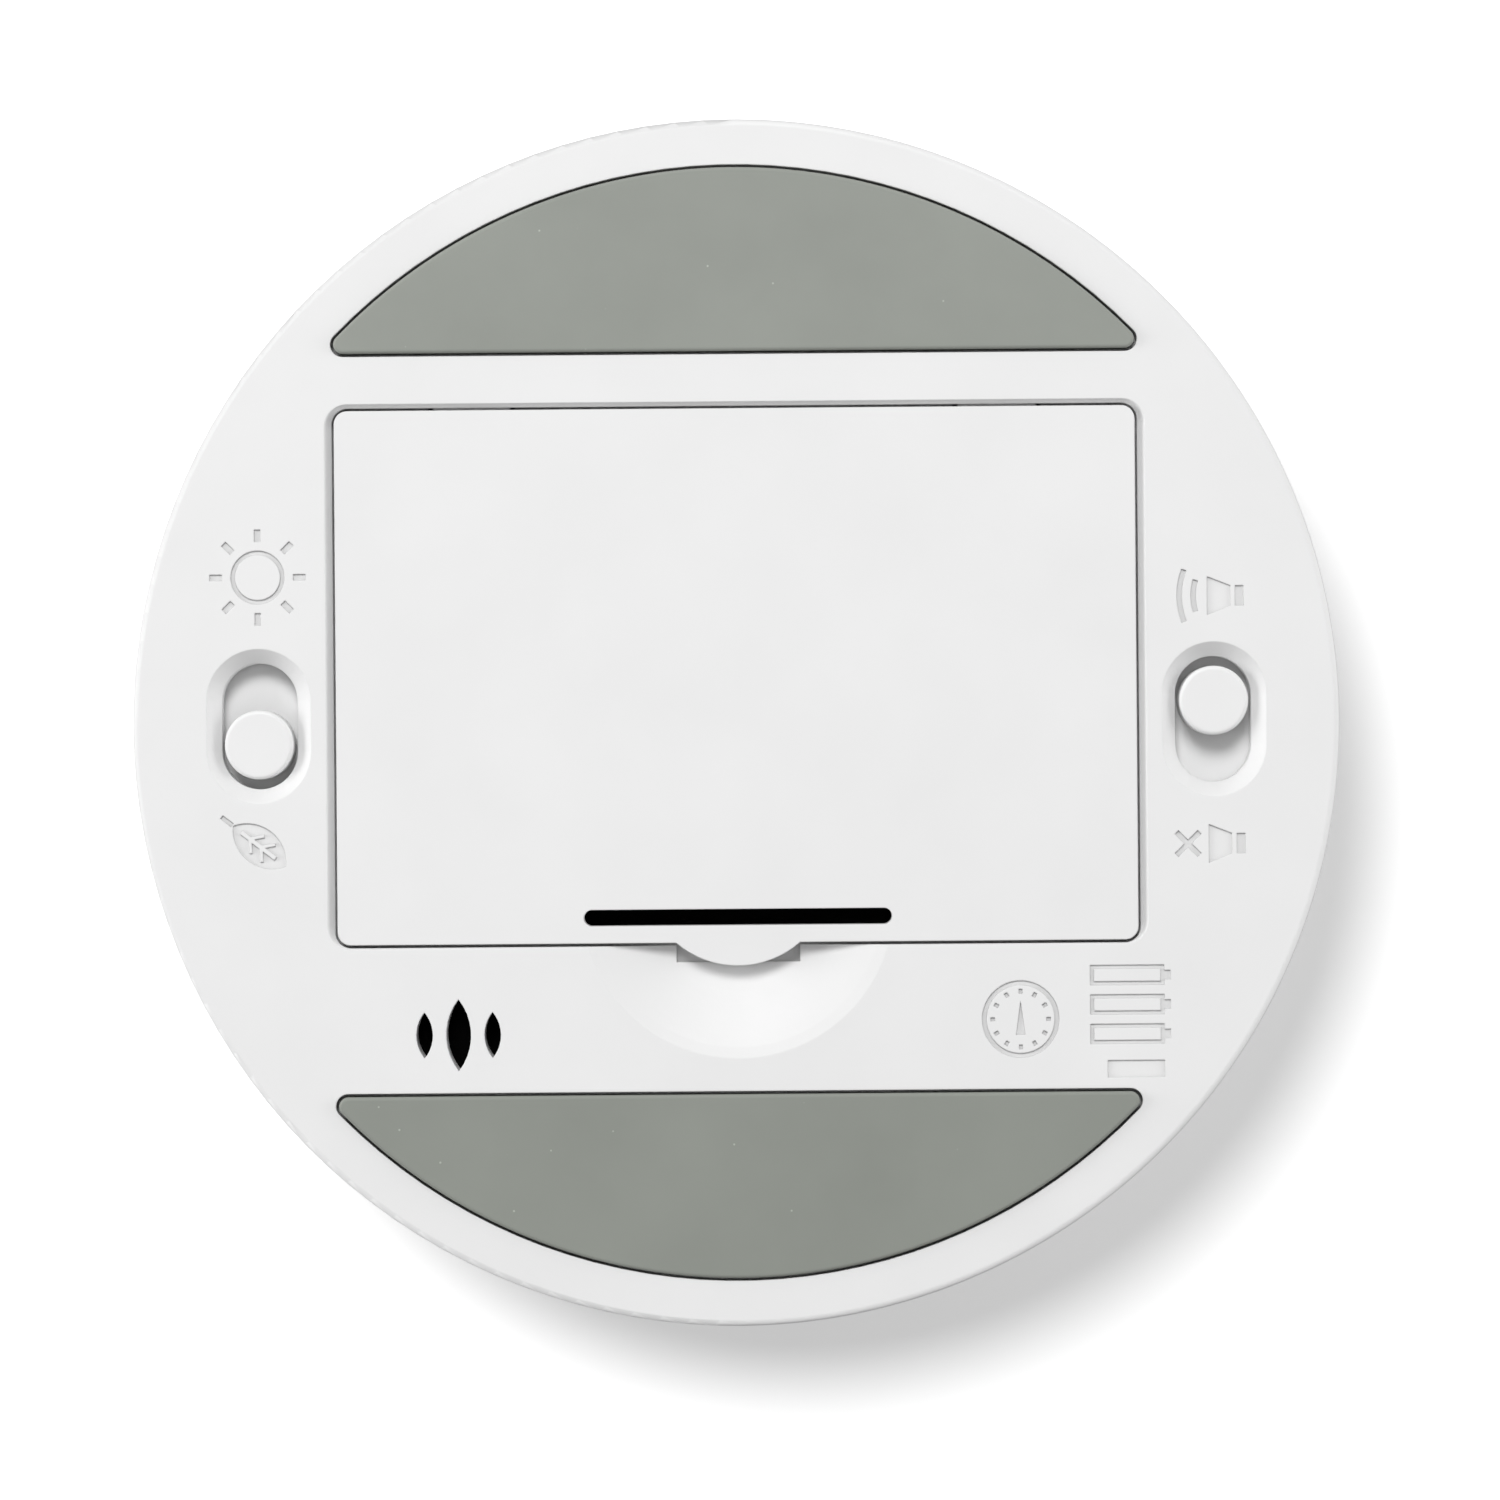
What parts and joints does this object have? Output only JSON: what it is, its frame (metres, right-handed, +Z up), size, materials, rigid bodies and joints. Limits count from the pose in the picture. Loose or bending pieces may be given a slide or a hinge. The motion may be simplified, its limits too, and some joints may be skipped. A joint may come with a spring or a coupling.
{
  "type": "digital timer",
  "caption": "Palm-size round digital timer with a turning dial ring, a lit display, a start button and a battery door underneath.",
  "frame": {"origin": "on the table under the centre of the disc, level with the underside of the two rubber pads", "axes": "+Z up out of the display face, +Y towards the top edge of the display and the battery door's hooks"},
  "size_m": [0.078, 0.078, 0.0274],
  "materials": {
    "white_plastic": "fine matt moulded, bright white",
    "pad_rubber": "soft matt grey",
    "cell_jacket": "printed shrink jacket, plain black",
    "contact_metal": "nickel-plated spring steel",
    "knob_plastic": "fine matt moulded, white",
    "black_plastic": "matt black",
    "switch_metal": "tinned steel",
    "circuit_board": "green solder mask",
    "lead_jacket": "red sleeve",
    "mesh_fabric": "black acoustic mesh",
    "inner_plastic": "moulded, uncoated",
    "display_body": "black potted face",
    "lit_segment": "lit light bars",
    "pinion_plastic": "natural acetal",
    "ring_plastic": "fine matt moulded, fluted grip",
    "window_plastic": "smoked acrylic, polished",
    "button_plastic": "fine matt moulded, grey",
    "screw_steel": "zinc-plated"
  },
  "bodies": {
    "housing": {"base_housing": "white_plastic", "pad_upper": "pad_rubber", "pad_lower": "pad_rubber", "battery_1": "cell_jacket", "battery_2": "cell_jacket", "battery_3": "cell_jacket", "positive_terminal": "contact_metal", "negative_terminal": "contact_metal", "link_contact_left": "contact_metal", "link_contact_right": "contact_metal", "brightness_switch": "switch_metal", "brightness_board": "circuit_board", "brightness_leads": "lead_jacket", "sound_switch": "switch_metal", "sound_board": "circuit_board", "sound_leads": "lead_jacket", "sounder": "black_plastic", "sounder_mesh": "mesh_fabric", "sounder_leads": "lead_jacket", "chassis": "inner_plastic", "main_board": "circuit_board", "control_chip": "black_plastic", "display_module": "display_body", "display_digits": "lit_segment", "encoder": "switch_metal", "front_cover": "white_plastic", "display_window": "window_plastic", "start_switch": "switch_metal", "housing_screws": "screw_steel", "cover_screws": "screw_steel"},
    "door": {"battery_door": "white_plastic"},
    "brightness_slider": {"brightness_knob": "knob_plastic", "brightness_lever": "black_plastic"},
    "sound_slider": {"sound_knob": "knob_plastic", "sound_lever": "black_plastic"},
    "dial": {"dial_ring": "ring_plastic"},
    "encoder_rotor": {"encoder_shaft": "switch_metal", "encoder_pinion": "pinion_plastic"},
    "button": {"start_button": "button_plastic", "start_plunger": "black_plastic"}
  },
  "joints": [
    {"name": "battery_door_hinge", "type": "hinge", "parent": "housing", "child": "door", "pos_m": [0, 0.0204, 0.0005], "axis": [1, 0, 0], "range_deg": [0, 75]},
    {"name": "brightness_slide", "type": "slide", "parent": "housing", "child": "brightness_slider", "axis": [0, 1, 0], "range_m": [0, 0.0024]},
    {"name": "sound_slide", "type": "slide", "parent": "housing", "child": "sound_slider", "axis": [0, -1, 0], "range_m": [0, 0.0024]},
    {"name": "dial_turn", "type": "hinge", "parent": "housing", "child": "dial", "pos_m": [0, 0, 0.02], "axis": [0, 0, 1], "continuous": true},
    {"name": "encoder_turn", "type": "hinge", "parent": "housing", "child": "encoder_rotor", "pos_m": [-0.0288, 0, 0.02], "axis": [0, 0, 1], "continuous": true},
    {"name": "start_press", "type": "slide", "parent": "housing", "child": "button", "axis": [0, 0, -1], "range_m": [0, 0.0005], "stiffness_N_per_m": 2000, "springref_m": -0.0003}
  ],
  "couplings": [
    {"joint": "encoder_turn", "follows": "dial_turn", "ratio": 6}
  ]
}
